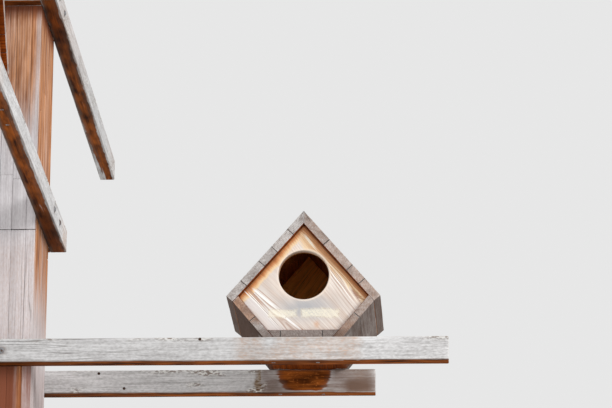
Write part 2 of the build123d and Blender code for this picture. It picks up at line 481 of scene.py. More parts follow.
def build_figure_group():
    """Softwood's figure from the place inside the tree: growth rings are equal steps of the distance from
    the pith, bent by slow noise, and fibre, streaks, flecks, blotches and clouds are stretched noises."""
    tree, n, given, made = new_group("softwood_figure", {"Ring Width": 0.004, "Wander": 0.012}, (),
                                     ("Late Wood", *FIGURE_NOISES, "Knot", "Check"))
    place = given["Place"]
    # Knots: a few stretched cells, kept only where the cell's own random value is high
    stretched = n.scaled(place, (2.6, 15.0, 9.0))
    cells = n.fed("ShaderNodeTexVoronoi", {"Vector": stretched, "Scale": 1.0}, feature="F1").outputs
    chosen = n.fed("ShaderNodeSeparateColor", [cells["Color"]]).outputs[0]
    knot = n.times(n.band(cells["Distance"], 0.16, 0.0), n.band(chosen, 0.86, 0.88))
    n.put(made["Knot"], knot)
    # Rings: distance from the pith, pushed aside round knots
    _, across, deep = n.parts(place)
    bend = n.about(n.noise(place, (1.1, 7.0, 7.0), 2.0, 0.5), given["Wander"])
    radius = n.math("SQRT", n.plus(n.math("POWER", across, 2.0), n.math("POWER", deep, 2.0)))
    radius = n.plus(n.plus(radius, bend), n.times(knot, 0.010))
    turn = n.math("FRACT", n.math("DIVIDE", radius, given["Ring Width"]))
    n.put(made["Late Wood"], n.window(turn, 0.35, 0.88, 0.90, 1.0))
    for name, (lengthwise, crosswise, detail, rough) in FIGURE_NOISES.items():
        n.put(made[name], n.noise(place, (lengthwise, crosswise, crosswise), detail, rough))
    # Drying checks: thin lines along the grain where a stretched noise crosses its middle
    line = n.band(n.off(n.noise(place, (1.3, 48.0, 48.0), 1.0, 0.5), 0.5), 0.010, 0.002)
    where = n.noise(place, (2.1, 9.0, 9.0), 1.0, 0.5)
    n.put(made["Check"], n.times(line, n.band(where, 0.58, 0.68)))
    return tree


MASKS = ("shelter", "damp", "tint", "soil", "arris", "cut", "stave")
AGED_NUMBERS = {**{key.title(): 0.0 for key in MASKS}, "Stave": 0.5, "Ring Width": 0.004, "Wander": 0.012,
                "Figure": 0.5, "Ragged": 1.0, "Mottle": 1.0, "Dapple": 1.0, "Drawn": 1.6, "Soft": 0.19}
COLOUR_NAMES = ("Open Pale", "Open Dark", "Open Tint", "Sheltered Pale", "Sheltered Dark", "Damp Colour")


def build_aged_group():
    """Aged softwood: sheltered wood stays orange-brown, open wood turns grey, damp wood goes dull, and
    painted shade is laid in the same dull colour.

    Damp (damp wood, and on some pieces painted shade), Tint (pinkish), Soil (droppings), Arris (worn corners,
    paler from wear and from painted highlight, or seams below 0) and Cut (end grain) are masks, and Soil goes
    on to 2 for thick droppings. Shelter goes on to 2 where the wood is also dry and out of the light, and has
    stayed pale orange, which inside the boxes is laid paler as painted light. Stave is a tone, which on the
    arms and post also holds painted light and shade. Figure is how clear the rings are, Ragged how uneven the
    sheltered wood's bounds, Drawn, Mottle and Dapple how streaky and blotchy it is, and Soft how wide the
    bounds are. Each coat's mask is laid over the ones before it, from bare wood to droppings and checks.
    """
    tree, n, given, made = new_group("aged_softwood", AGED_NUMBERS, COLOUR_NAMES,
                                     ("Color", "Roughness", "Height"))
    shelter, damp, tint, soil, arris, cut = (given[key.title()] for key in MASKS[:6])
    fig = n.group(FIGURE, Place=given["Place"], Ring_Width=given["Ring Width"], Wander=given["Wander"])
    late, fibre, streak, fleck, blotch, cloud = (
        fig[k] for k in ("Late Wood", "Fibre", "Streak", "Fleck", "Blotch", "Cloud"))
    ring_mark = n.times(late, given["Figure"], n.math("MULTIPLY_ADD", cut, 0.9, 1.0))
    # Open wood: grey, darker in the rings, pinkish where tinted
    open_mark = n.swing(0.36, (fibre, 1.2), (streak, 1.0), (fleck, 1.2), (blotch, 0.6), (cloud, 0.5))
    open_mark = n.math("ADD", open_mark, n.times(ring_mark, 0.35), clamp=True)
    grey = n.blend(open_mark, given["Open Pale"], given["Open Dark"])
    grey = n.blend(n.times(tint, n.band(streak, 0.3, 0.7, 0.7, 1.0)), grey, given["Open Tint"], "MULTIPLY")
    grey = n.blend(n.times(tint, n.band(fleck, 0.52, 0.62), 0.45), grey, (214, 176, 150))
    # Sheltered wood, and pale orange where it is dry too, which inside the boxes is painted paler as painted
    # light
    mark = n.swing(0.40, (fibre, 0.8), (streak, given["Drawn"]), (blotch, given["Mottle"]),
                   (cloud, n.times(given["Mottle"], given["Dapple"])))
    mark = n.math("ADD", mark, n.times(ring_mark, 0.55), clamp=True)
    fresh = n.layers(n.blend(mark, given["Sheltered Pale"], given["Sheltered Dark"]),
                     (n.band(shelter, 1.0, 2.0), n.blend(mark, (232, 158, 84), (176, 98, 40))),
                     (n.times(n.band(fleck, 0.56, 0.66), n.band(shelter, 1.0, 1.2), 0.6), (206, 122, 58)))
    edge = n.swing(shelter, (blotch, n.times(given["Ragged"], 1.1)), (streak, n.times(given["Ragged"], 1.3)))
    kept = n.band(n.times(edge, n.band(shelter, 0.02, 0.15)), n.minus(0.5, given["Soft"]),
                  n.plus(0.5, given["Soft"]))
    # Pale worn corners: wear, and painted highlight where the corners face up
    worn = n.times(n.larger(arris, 0.0), n.minus(1.0, n.times(kept, 0.6)),
                   n.band(fleck, 0.35, 0.6, 0.25, 0.6))
    # The damp mask's dull colour, streaky where it is partial: damp, and painted shade where the mask holds
    # it
    part_wet_and_shade = n.times(damp, n.minus(1.0, damp), 4.0, n.math("MULTIPLY_ADD", cut, -0.8, 1.0))
    wet_and_shade = n.swing(n.times(damp, 0.97), (streak, n.times(part_wet_and_shade, 0.7)), (blotch, n.times(part_wet_and_shade, 0.9)))
    knot = n.times(n.band(fig["Knot"], 0.25, 0.8), 0.6)
    col = n.layers(grey, (kept, fresh), (worn, (226, 222, 216)), (wet_and_shade, given["Damp Colour"]),
                   (knot, (92, 58, 38)))
    # Each stave's tone, which on the arms and post also holds painted light and shade
    col = n.toned(col, n.math("MULTIPLY_ADD", given["Stave"], 0.23, 0.86))
    # Seams, droppings and drying checks
    seam = n.times(n.larger(n.times(arris, -1.0), 0.0), n.band(fleck, 0.35, 0.6, 0.75, 0.95))
    thick = n.times(n.band(soil, 1.1, 1.9), n.band(cloud, 0.30, 0.55, 0.35, 0.8))
    brown = n.times(soil, n.band(blotch, 0.50, 0.60), n.band(fleck, 0.47, 0.55))
    brown = n.larger(brown, n.times(n.band(soil, 1.1, 1.6), n.band(fleck, 0.52, 0.60)))
    white = n.times(soil, n.band(blotch, 0.46, 0.62), n.band(fleck, 0.50, 0.43), n.band(soil, 1.6, 1.1))
    check = n.times(fig["Check"], n.minus(1.0, cut))
    col = n.layers(col, (seam, (50, 40, 36)), (thick, (146, 122, 92)), (n.times(brown, 0.8), (112, 88, 66)),
                   (n.times(white, 0.85), (230, 228, 221)), (n.times(check, 0.45), (70, 56, 46)))
    n.put(made["Color"], col)
    n.put(made["Roughness"], n.band(fibre, 0.2, 0.8, 0.82, 0.97))
    high = n.plus(n.swing(0.4, (fibre, 0.9), (streak, 0.5)), n.times(late, 0.4))
    n.put(made["Height"], n.minus(high, n.times(check, 1.4)))
    return tree


FIGURE = build_figure_group()
AGED = build_aged_group()


def finished(name, build):
    """A material whose colour, roughness, height and depth of relief come from build."""
    mat = bpy.data.materials.new(name)
    mat.use_nodes = True
    mat.node_tree.nodes.clear()
    n = Nodes(mat.node_tree)
    colour, roughness, height, depth = build(n)
    bump = n.fed("ShaderNodeBump", {"Height": height, "Distance": depth, "Strength": 0.9})
    skin = n.fed("ShaderNodeBsdfPrincipled", {"Specular IOR Level": 0.10, "Base Color": colour,
                                              "Roughness": roughness, "Normal": bump.outputs["Normal"]})
    n.fed("ShaderNodeOutputMaterial", {"Surface": skin.outputs[0]})
    return mat


def softwood(name, colours, upright=False, **settings):
    """A finish from the aged_softwood group. An upright piece has no grain field of its own, and its
    grain runs up."""
    def build(n):
        if upright:
            turned = n.fed("ShaderNodeMapping", {"Vector": n.own_place(), "Rotation": (0.0, np.pi / 2, 0.0)})
            given = {"Place": turned.outputs["Vector"]}
        else:
            given = {"Place": n.field("grain", "Vector"), **{key.title(): n.field(key) for key in MASKS}}
        made = n.group(AGED, **given, **settings, **dict(zip(COLOUR_NAMES, colours)))
        return made["Color"], made["Roughness"], made["Height"], 0.0006
    return finished(name, build)


# Colours in the order of COLOUR_NAMES; the damp colour also lays painted shade under the top arms, beside and
# under the boxes
ARM_COLOURS = ((217, 216, 216), (150, 147, 146), (253, 238, 228), (156, 82, 26), (56, 22, 2), (110, 88, 76))
POST_COLOURS = ((216, 212, 214), (187, 181, 183), (243, 214, 198), (201, 138, 89), (129, 79, 49),
                (124, 66, 40))
BOARD_COLOURS = ((213, 209, 206), (142, 132, 128), (238, 196, 170), (138, 66, 14), (78, 30, 2), (92, 71, 60))
ARM_WOOD = softwood("arm_softwood", ARM_COLOURS, Ring_Width=0.0035, Figure=0.4, Mottle=1.7)
POST_WOOD = softwood("post_softwood", POST_COLOURS, Ring_Width=0.007, Wander=0.02, Figure=0.6, Ragged=0.5,
                     Soft=0.5, Drawn=1.0, Mottle=1.9, Dapple=0.35)
BOARD_WOOD = softwood("box_softwood", BOARD_COLOURS, Ring_Width=0.004, Figure=0.5)
CORE_WOOD = softwood("core_softwood", POST_COLOURS, upright=True, Ring_Width=0.006)

# Slant of an entrance panel's grain in degrees, and the distance between its fine lines
PANEL_SLANT, LINE_PITCH = 47.5, 0.0062
# Long marks of the entrance panels: place across the grain, slope, half width, start, end, strength, colour
PANEL_MARKS = (
    (-0.0140, -0.03, 0.0042, -0.215, -0.125, 0.75, (186, 146, 122)),
    (-0.0250, 0.01, 0.0018, -0.215, -0.050, 0.95, (254, 251, 247)),
    (-0.0190, -0.03, 0.0015, -0.205, -0.110, 0.95, (255, 250, 240)),
    (-0.0218, -0.01, 0.0010, -0.200, -0.045, 0.85, (126, 88, 64)),
    (-0.0040, 0.02, 0.0036, -0.205, -0.095, 0.95, (255, 252, 248)),
    (0.0035, 0.03, 0.0014, -0.200, -0.100, 0.65, (188, 150, 128)),
    (-0.0070, 0.02, 0.0026, -0.100, -0.010, 0.90, (254, 252, 250)),
    (-0.0120, 0.02, 0.0012, -0.120, 0.000, 0.55, (178, 140, 116)),
    (0.1935, -0.02, 0.0015, -0.125, 0.045, 0.95, (253, 240, 222)),
    (0.1890, -0.02, 0.0010, -0.120, 0.040, 0.70, (164, 104, 66)),
    (0.2000, -0.02, 0.0012, -0.100, 0.050, 0.80, (250, 222, 186)),
    (0.1835, -0.02, 0.0013, -0.110, 0.020, 0.85, (254, 248, 240)),
    (0.1995, -0.10, 0.0040, -0.222, -0.150, 0.90, (253, 243, 226)),
)
# The two bare marks near an entrance panel's foot, each a middle and a half width across it
BARE_MARKS = ((-0.0565, 0.040), (0.046, 0.052))
# The height of their middle and half their height, and the place of the stain below them
BARE_HIGH, BARE_HALF, STAIN_PLACE = 0.0735, 0.0120, (0.037, 0.044, 0.0)


def panel_warmth(n, col, q, light, brown, fig):
    """Warm wood along the roof boards, with a ragged lower bound, darker brown close to the boards from the
    wood's colour and painted shade, and a painted shadow line right against them.
    """
    edge, streak = n.field("shelter"), fig["Streak"]
    lined = n.band(q, 0.13, 0.19, 0.2, 1.0)
    ragged = n.swing(edge, (light, n.times(lined, 0.3)), (streak, n.times(lined, 0.8)),
                     (fig["Blotch"], 0.35), (fig["Cloud"], 0.45))
    ragged = n.times(ragged, n.band(edge, 0.0, 0.15))
    warm = n.blend(n.swing(0.45, (streak, 1.6), (brown, 0.4)), (222, 154, 100), (178, 108, 66))
    corded = n.times(n.band(q, 0.160, 0.185), n.band(edge, 0.02, 0.25))
    return n.layers(col, (n.band(ragged, 0.04, 0.34), (244, 214, 172)), (n.band(ragged, 0.24, 0.74), warm),
                    (n.times(brown, corded, 0.60), (156, 96, 58)),
                    (n.times(light, corded, 0.40), (250, 230, 202)),
                    # Darker brown close to the boards: the wood's colour and painted shade; then a painted
                    # shadow line against them
                    (n.times(n.band(ragged, 0.66, 1.0), 0.75), (142, 86, 52)),
                    (n.times(n.band(edge, 0.90, 0.99), 0.7), (84, 52, 34)))


def panel_marks(n, col, run, q, wavy, cloud):
    """The long marks, each a band of distance from a line that waves slightly along the grain."""
    for place, slope, half, start, end, strength, colour in PANEL_MARKS:
        off = n.minus(q, n.plus(n.times(n.minus(run, start), slope), place))
        off = n.math("ABSOLUTE", n.plus(off, n.about(wavy, 0.004)))
        line = n.times(n.band(off, half, half - 0.0008), n.window(run, start, start + 0.02, end - 0.04, end),
                       n.band(cloud, 0.3, 0.5, 0.6, 1.0), strength)
        col = n.blend(line, col, colour)
    return col


def panel_foot(n, col, flat, streak, cloud):
    """Near the foot: two bare rectangles with ragged edges and darker rims, and a round stain."""
    across, up, _ = n.parts(flat)
    dotted = n.noise(flat, (260.0, 260.0, 1.0), 1.0)
    rough_edge = n.plus(n.about(cloud, 0.014), n.about(dotted, 0.008))
    for centre, half in BARE_MARKS:
        side, tall = n.minus(n.off(across, centre), half), n.minus(n.off(up, BARE_HIGH), BARE_HALF)
        out = n.plus(n.larger(side, tall), rough_edge)
        bare = n.times(n.band(out, 0.005, -0.006), n.band(dotted, 0.35, 0.65, 0.52, 0.86),
                       n.band(streak, 0.3, 0.6, 1.0, 0.7))
        line = n.times(n.band(n.math("ABSOLUTE", out), 0.0030, 0.0008), n.band(dotted, 0.50, 0.64), 0.45)
        col = n.layers(col, (bare, (249, 242, 220)), (line, (176, 150, 116)))
    stain = n.band(n.plus(n.apart(flat, STAIN_PLACE, (1.3, 1.0, 0.0)), rough_edge), 0.016, 0.004)
    return n.blend(n.times(stain, n.band(dotted, 0.4, 0.6, 0.3, 0.7)), col, (216, 168, 130))


def panel_openings(n, col, flat, mark):
    """The entrance's pale rim and its bore, both lighter on the right as painted light, the bore painted pale
    as painted light, and the warm inner faces, painted bright orange and paler low down as painted light.
    """
    across, up, _ = n.parts(flat)
    rim = n.apart(flat, (0.0, HOLE_HIGH, 0.0), (1.0, 1.0, 0.0))
    pale = n.window(rim, HOLE_RADIUS - 0.004, HOLE_RADIUS, HOLE_RADIUS + 0.003, HOLE_RADIUS + 0.008)
    # The rim lighter on the right: painted light
    pale = n.times(pale, n.band(across, -0.05, 0.04, 0.25, 0.75))
    # The bore painted pale, and lighter on the right: painted light
    bore = n.blend(mark, (196, 176, 160), (150, 126, 110))
    bore = n.blend(n.band(across, -0.03, 0.04), bore, (240, 222, 204))
    # Inner faces: fresh wood, painted bright orange and paler low down as painted light come in at the
    # entrance
    inner = n.toned(n.blend(n.band(up, 0.31, 0.20), (236, 146, 62), (255, 176, 82)),
                    n.band(mark, 0.0, 1.0, 1.0, 0.5))
    return n.layers(col, (pale, (246, 230, 212)), (n.band(rim, HOLE_RADIUS + 0.0012, HOLE_RADIUS), bore),
                    (n.field("inside"), inner))


def panel_finish(n):
    """A flat-sawn glued board set on the slant: cream, sharply lined at its lower left and upper right,
    orange under the roof boards, greyer below the entrance, with two paler bare marks near the foot."""
    flat, grain = n.field("flat", "Vector"), n.field("grain", "Vector")
    run, q, _ = n.parts(grain)
    fig = n.group(FIGURE, Place=grain, Ring_Width=0.009, Wander=0.02)
    streak, cloud = fig["Streak"], fig["Cloud"]
    # Light and brown lines along the grain, clear at the lower left and the upper right
    wavy = n.noise(grain, (9.0, 30.0, 0.5), 1.0)
    turn = n.math("FRACT", n.plus(n.times(q, 1 / LINE_PITCH), n.times(wavy, 2.2)))
    light, brown = n.window(turn, 0.06, 0.20, 0.30, 0.50), n.window(turn, 0.58, 0.76, 0.88, 0.98)
    inked = n.band(n.noise(grain, (7.0, 70.0, 9.0), 1.0), 0.36, 0.56)
    zone = n.larger(n.window(q, -0.036, -0.027, -0.006, 0.016), n.band(q, 0.160, 0.182))
    zone = n.times(n.larger(zone, 0.13), inked)
    # Bare wood, with soft tan lengths, a greyer lower left corner and a grey patch
    mark = n.swing(0.36, (streak, 1.3), (fig["Blotch"], 0.9), (fig["Fibre"], 0.7), (cloud, 0.6))
    mark = n.swing(mark, (n.noise(grain, (9.0, 330.0, 9.0), 1.0, 0.5), 0.8))
    soft = n.band(n.noise(grain, (1.5, 34.0, 9.0)), 0.48, 0.62)
    corner = n.times(n.band(q, -0.004, -0.030), n.band(cloud, 0.3, 0.6, 0.3, 0.8))
    grey = n.times(n.field("damp"), n.band(cloud, 0.3, 0.7, 0.75, 1.0))
    col = n.layers(n.blend(mark, (241, 231, 222), (196, 173, 158)),
                   (n.times(soft, 0.28), (220, 190, 166)), (n.times(light, zone, 0.85), (253, 249, 245)),
                   (n.times(brown, zone, 0.75), (164, 116, 84)), (corner, (232, 226, 223)),
                   (grey, (181, 180, 182)))
    col = panel_marks(n, panel_warmth(n, col, q, light, brown, fig), run, q, wavy, cloud)
    col = panel_openings(n, panel_foot(n, col, flat, streak, cloud), flat, mark)
    return col, 0.88, n.plus(n.swing(0.4, (fig["Fibre"], 0.9)), n.times(light, zone, 0.8)), 0.0007


def metal(name, size, low, high, clean, rusty, roughness):
    """Small ironwork: one colour turns to another where fine noise passes from low to high."""
    def build(n):
        rust = n.noise(n.own_place(), size, 3.0)
        return n.blend(n.band(rust, low, high), clean, rusty), roughness, rust, 0.0003
    return finished(name, build)


PANEL_WOOD = finished("panel_softwood", panel_finish)
SCREW_METAL = metal("dull_zinc", 150.0, 0.45, 0.65, (136, 136, 138), (96, 78, 68), 0.6)
NAIL_METAL = metal("rusted_nail", 420.0, 0.40, 0.62, (50, 40, 36), (78, 54, 42), 0.8)
ARM_LOOK, POST_LOOK = (ARM_WOOD, "arm_timber"), (POST_WOOD, "post_boards")
BOARD_LOOK, PANEL_LOOK = (BOARD_WOOD, "box_boards"), (PANEL_WOOD, "box_panels")
SCREW_LOOK, NAIL_LOOK = (SCREW_METAL, "arm_timber"), (NAIL_METAL, "arm_timber")


# Where the weather reaches each piece

ARMS = {"left": -X, "right": X, "front": -Y, "back": Y}
LEVELS = {level: node_box(f"{level}_tie")[0][2] for level in ARMS}
POST_TOP = node_box("post_core")[1][2]


def masks(shelter, **others):
    """The weather fields, with zeros for those not given."""
    return {"shelter": shelter, "damp": 0 * shelter, "tint": 0 * shelter, "soil": 0 * shelter, **others}


def arm_weather(node, u_axis, outward, box_at=None, bolts=(), warm_lengths=(), stains=()):
    """Arms: undersides keep their colour but for thin weathered strips along both edges, and are darker near
    the post as painted shade; inner faces are painted lighter as painted light, and keep their colour under a
    box, between flanks darker from damp and painted shade, with a painted shadow along their top under the
    box; tops and the strips below their edges carry droppings.

    Places are distances from the post's middle along the pair. A warm length has a middle, a half length
    and how much darker it is, and a stain a middle, a half length and how thick it is. Each mask is a
    ramp of the distance from its edge, roughened by noise.
    """
    low, high = node_box(node)
    across = np.abs(np.cross(Z, u_axis))
    near, far = low @ across, high @ across
    inward = -np.sign((near + far) / 2)
    tip = max(low @ outward, high @ outward)
    sideways, to_back, to_front = abs(u_axis[0]) > 0.5, outward[1] > 0.5, outward[1] < -0.5

    def underside(at, place, reach, down, drawn, fine):
        """Shelter, damp and tone underneath: kept but for the strips along the edges, and the tone darker
        near the post as painted shade.
        """
        lean = inward * (place - (near + far) / 2) / (ARM_THICK / 2)
        strip = 0.0015 if sideways else 0.006 + 0.0035 * (lean < 0)
        strip = strip * (1 + 2.0 * ramp(0.75 * tip, tip, reach) * (lean > 0))
        if to_back:
            strip = strip * (1 + 0.9 * ramp(0.3 * tip, tip, reach) * (lean > 0))
        rim = np.minimum(place - near, far - place) + 0.004 * drawn + 0.003 * fine
        damp = 0.75 * down * ramp(2.2 * strip, 0.8 * strip, rim) * (1 - 0.55 * (lean < 0) * (not sideways))
        damp = damp * (1 - 0.8 * ramp(0.75 * tip, 0.9 * tip, reach))
        # Painted shade: undersides darker near the post
        tone = -1.6 * down * ramp(0.42, 0.10, np.abs(reach))
        if not sideways:
            tone = tone + down * (2.2 * (smooth_noise(at, (34, 17, 17), 8) - 0.70) - 0.35 * lean)
        return down * ramp(0.0, strip, rim), damp, tone

    def beside_box(inner, reach, deep, drawn, fine):
        """Masks of the inner face: under the box, its flanks darker from damp and painted shade, the painted
        shadow along its top under the box, and the dry length round it.
        """
        off = np.abs(reach - box_at + 0.010) + 0.022 * drawn + 0.012 * fine
        half = 0.072 - 0.008 * deep - 0.020 * deep ** 4
        under = inner * ramp(half + 0.016, half - 0.016, off) * ramp(0.97, 0.84, deep + 0.15 * fine)
        # Flanks and the length beyond the box: damp, and painted shade from the box
        flank_damp_and_shade = inner * ramp(np.where(reach > box_at, 0.22, 0.16), 0.10, off)
        flank_damp_and_shade = flank_damp_and_shade * (1.0 - 0.25 * deep) * (0.85 + 0.5 * drawn)
        end = 0.84 * inner * ramp(box_at + 0.06, box_at + 0.10, reach) * (0.8 + 1.2 * drawn)
        # A painted shadow along the top of the inner face, under the box
        top = 0.8 * inner * ramp(0.12, 0.0, deep) * ramp(0.115, 0.095, off)
        return under, np.maximum(flank_damp_and_shade, end) * (1 - under), top, ramp(0.13, 0.11, off)

    def weather(at, facing):
        place, reach, deep = at @ across, at @ outward, (high[2] - at[:, 2]) / ARM_HIGH
        drawn, fine = smooth_noise(at, 26, 5) - 0.5, smooth_noise(at, 70, 6) - 0.5
        down = ramp(0.35, 0.75, -facing[:, 2])
        not_down, inner = 1 - down, inward * (facing @ across)
        shelter, damp, tone = underside(at, place, reach, down, drawn, fine)
        damp = np.maximum(damp, 0.8 * ramp(0.945, 0.975, deep) * not_down)
        # Inner faces painted lighter: painted light
        tone = tone + 0.50 + 0.65 * (inner > 0.5) + 0.3 * to_front * not_down
        tint = 0.4 * ramp(0.50, 0.66, smooth_noise(at, 2.2, 9)) * (not warm_lengths)
        tint = np.maximum(tint, to_front * ramp(-0.02, -0.14, reach) * (0.8 + drawn))
        soil = np.maximum(0.7 * ramp(0.5, 0.9, facing[:, 2]), 0.9 * ramp(0.25, 0.0, deep) * not_down)
        soil = np.maximum(soil, 0.35 * to_back * not_down)
        for centre, half, dull in warm_lengths:
            soft = 0.6 * half * drawn + 0.3 * half * fine
            warm = ramp(half + 0.020, half - 0.024, np.abs(reach - centre) + soft)
            tint, tone = np.maximum(tint, warm * (0.75 + fine)), tone - dull * warm
        for centre, half, thick in stains:
            off = np.abs(reach - centre) + 0.02 * drawn
            soil = np.maximum(soil, 0.9 * ramp(half, 0.4 * half, off) * not_down)
            round_spot = np.hypot(reach - centre, ARM_HIGH / 2 * (deep - 0.45)) + 0.018 * drawn + 0.014 * fine
            soil = soil + thick * ramp(0.036, 0.012, round_spot) * ramp(0.95, 0.85, deep) * not_down
        if warm_lengths:
            tone = tone + (0.35 * ramp(0.75, 0.95, reach) + 0.2 * ramp(0.99, 1.04, reach)) * not_down
        for centre in bolts:
            ring = np.hypot(reach - centre, ARM_HIGH * (0.5 - deep))
            damp = np.maximum(damp, 0.5 * ramp(0.016, 0.010, ring) * not_down)
        if box_at is not None:
            # Under the box the colour is kept; beside it damp and painted shade, and the painted shadow along
            # the top
            under, flank_damp_and_shade, top, dry = beside_box(ramp(0.5, 0.9, inner), reach, deep, drawn, fine)
            shelter, soil = np.maximum(shelter, 1.12 * under), soil * (1 - dry)
            damp = np.maximum(np.maximum(damp, flank_damp_and_shade), top)
        return masks(shelter, damp=damp, tint=tint, soil=soil, stave=tone)
    return weather


def post_weather(at, facing):
    """The post: orange-tan high up under the top arms, grey-pink lower down and at the very top, red-brown
    again below the right-hand arms, though less so at the corners. Painted shade lies under and beside the
    top arms' tie; above the front arms the side faces are painted lighter and the front face darker as
    painted light;
    high up a painted highlight runs along the front face's right-hand corner. Masks are ramps of the height
    above the underside of a pair of arms and of the place across a face."""
    turned = np.abs(at[:, 0]) > np.abs(at[:, 1]) + 0.0006
    side, z = np.where(turned, at[:, 1], at[:, 0]), at[:, 2]
    over_right, over_front, over_back = (z - LEVELS[level] for level in ("right", "front", "back"))
    stripe = smooth_noise(np.stack([side, 0 * z, z], -1), (75, 1, 0.5), 31) - 0.5
    above = ramp(0.06, 0.08, over_back)
    # Shelter of the front and back, and of the two other sides
    front = 0.64 + 0.16 * ramp(0.03, 0.10, side) - 0.4 * ramp(0.134, 0.142, side)
    front = front * ramp(0.10, 0.43, over_front) * ramp(0.03, -0.05, over_back)
    front = front + 0.3 * ramp(-0.05, -0.01, over_back) * (1 - 0.5 * above)
    beside = ramp(0.05, 0.36, over_right) * (0.82 + 0.7 * stripe) * (1 - 0.75 * above)
    shelter = np.where(turned, np.maximum(beside, front), front)
    # Red-brown below the right-hand arms, with one bright stave
    below = window(-1.6, -0.15, 0.02, 0.07, over_right) * (1 - turned) * (1 - 0.3 * (at[:, 1] > 0))
    damp = below * (0.68 + 0.32 * ramp(0.127, 0.123, np.abs(side)))
    damp = damp + 0.2 * turned * ramp(0.07, 0.02, over_right)
    bright = below * window(0.103, 0.112, 0.123, 0.127, side) * (at[:, 1] < 0)
    shelter, damp = np.maximum(shelter, 0.95 * bright), damp * (1 - 0.5 * bright)
    # Painted shade under and beside the top arms' tie, darker just under the cap, and damp at the foot
    damp = np.maximum(damp, ramp(-0.065, 0.0, over_back) * (1 - above) + 0.25 * ramp(-0.02, 0.0, z - POST_TOP)
                      + 0.3 * ramp(0.30, 0.0, z))
    tint = ramp(-0.02, -0.12, over_front) * 0.28 + 0.5 * ramp(0.23, 0.43, over_front)
    tint = tint + 0.2 * turned * ramp(0.10, 0.22, over_right)
    # Painted light: above the front arms the side faces lighter and the front face darker
    tone = 0.72 + 1.2 * stripe + (0.8 * turned - 0.5) * ramp(0.03, 0.38, over_front)
    tone = tone - 0.35 * turned * ramp(0.26, 0.14, over_right)
    # Painted shade: the front face darker a little above the front arms
    tone = tone - 0.3 * (1 - turned) * window(0.02, 0.10, 0.23, 0.43, over_front)
    # High on the post: a painted highlight along the front face's right-hand corner, beside a darker strip,
    # and the side faces darker
    pale = 0.9 * hump(side, 0.130, 0.005, 0.005) - 0.35 * hump(side, 0.112, 0.004, 0.006)
    tone = tone + ramp(-0.17, -0.12, over_back) * np.where(turned, -0.55, pale * (at[:, 1] < 0))
    return masks(shelter, damp=damp, tint=tint, stave=tone)


def board_weather(middle, inward, across, run, high_pink, low_pink, dull, wet_and_shade):
    """Box boards: brown inside, and within the box pale orange, fresh wood painted paler low down as painted
    light;
    dull where they lean outwards and down, from damp and painted shade, with painted shade near the foot
    between the arms; grey at their ends and on top, and brown again underneath, where the arms cover them.
    run is the board's own run in its section."""
    def weather(at, facing):
        plane = np.array([across, Z]).T
        low, off, depth = middle[2] - at[:, 2], np.abs((at - middle) @ across), np.abs((at - middle) @ inward)
        drawn = smooth_noise(at, 16, 3) - 0.5
        inner = ramp(0.0, 0.04, np.sum(((middle - at) @ plane) * (facing @ plane), axis=1))
        inner = inner * ramp(0.97, 0.85, np.abs(facing @ plane @ run))
        # Within the box the inner faces go on to pale orange, more so low down: fresh wood, painted paler as
        # painted light
        closed = ramp(0.166, 0.160, depth) * (0.35 + 0.65 * ramp(-0.03, 0.03, low))
        ends = ramp(0.6, 0.9, np.abs(facing @ inward))
        down = ramp(0.25, 0.6, -facing[:, 2]) * (1 - inner) * (1 - ends)
        flat = ramp(0.9, 0.98, -facing[:, 2])
        foot = ramp(0.135, 0.155, low) * ramp(0.155, 0.148, depth) * (1 - ends)
        under = np.maximum(flat * ramp(0.080, 0.066, off + 0.01 * drawn), foot)
        shelter = np.maximum((1 + closed) * inner * (1 - ends), under)
        # Leaning faces that look down are darker: damp, and painted shade, with a share for each board
        damp = down * (1 - under) * (wet_and_shade + (1 - wet_and_shade) * flat) + 0.6 * ends * ramp(0.125, 0.140, low)
        # Painted shade on the leaning faces near the foot, between the arms
        damp = np.maximum(damp, 0.7 * foot * ramp(0.090, 0.112, off))
        spots = ramp(0.56, 0.72, smooth_noise(at, 70, 12))
        damp = np.maximum(damp, ends * (dull * (1 + drawn) + 0.40 * spots))
        pink = low_pink + (high_pink - low_pink) * ramp(0.120, 0.106, low)
        soil = 0.55 * ramp(0.35, 0.6, facing[:, 2]) * (1 - inner) * (1 - ends)
        return masks(shelter, damp=damp, tint=ends * pink * (1 + 0.8 * drawn), soil=soil)
    return weather


def cap_weather(at, facing):
    """The cap: grey, with droppings where it faces up."""
    up = ramp(0.6, 0.95, facing[:, 2])
    return masks(0 * up, soil=0.6 * up)


# Arms, ties and their fastenings

BOLT_PLACES = {"left": (0.058, -0.066), "right": (0.073, -0.052), "front": (0.112, -0.014),
               "back": (-0.125, -0.002)}
# Warm lengths and stains of the right-hand arms, as arm_weather takes them
ARM_MARKS = {
    "right_long_arm": (((0.738, 0.036, 0.45), (0.905, 0.110, 0.1)), ((0.668, 0.040, 0.0),)),
    "right_short_arm": (
        ((1.02, 0.03, 0.0),),
        ((0.752, 0.045, 1.0), (0.726, 0.018, 0.0), (0.60, 0.07, 0.0), (0.26, 0.05, 0.0))),
}
# Nails by their X and Z, on the faces that look to the front
NAILS = {"right_long_arm": ((0.606, 4.161),), "right_short_arm": ((0.300, 4.157), (0.371, 4.114))}
# Radius and height of the points of a nail's head, a bolt's domed head and a sunk screw's head
NAIL = ((0.0040, -0.001), (0.0040, 0.0002), (0.0030, 0.0005), (0.0016, 0.0003))
DOME = ((0.0088, -0.002), (0.0088, 0.0012), (0.0076, 0.0020), (0.0058, 0.0030), (0.0052, 0.0042),
        (0.0036, 0.0047), (0.0026, 0.0030))
SUNK = ((0.0055, -0.001), (0.0055, 0.0004), (0.0042, 0.0008), (0.0024, 0.0002))
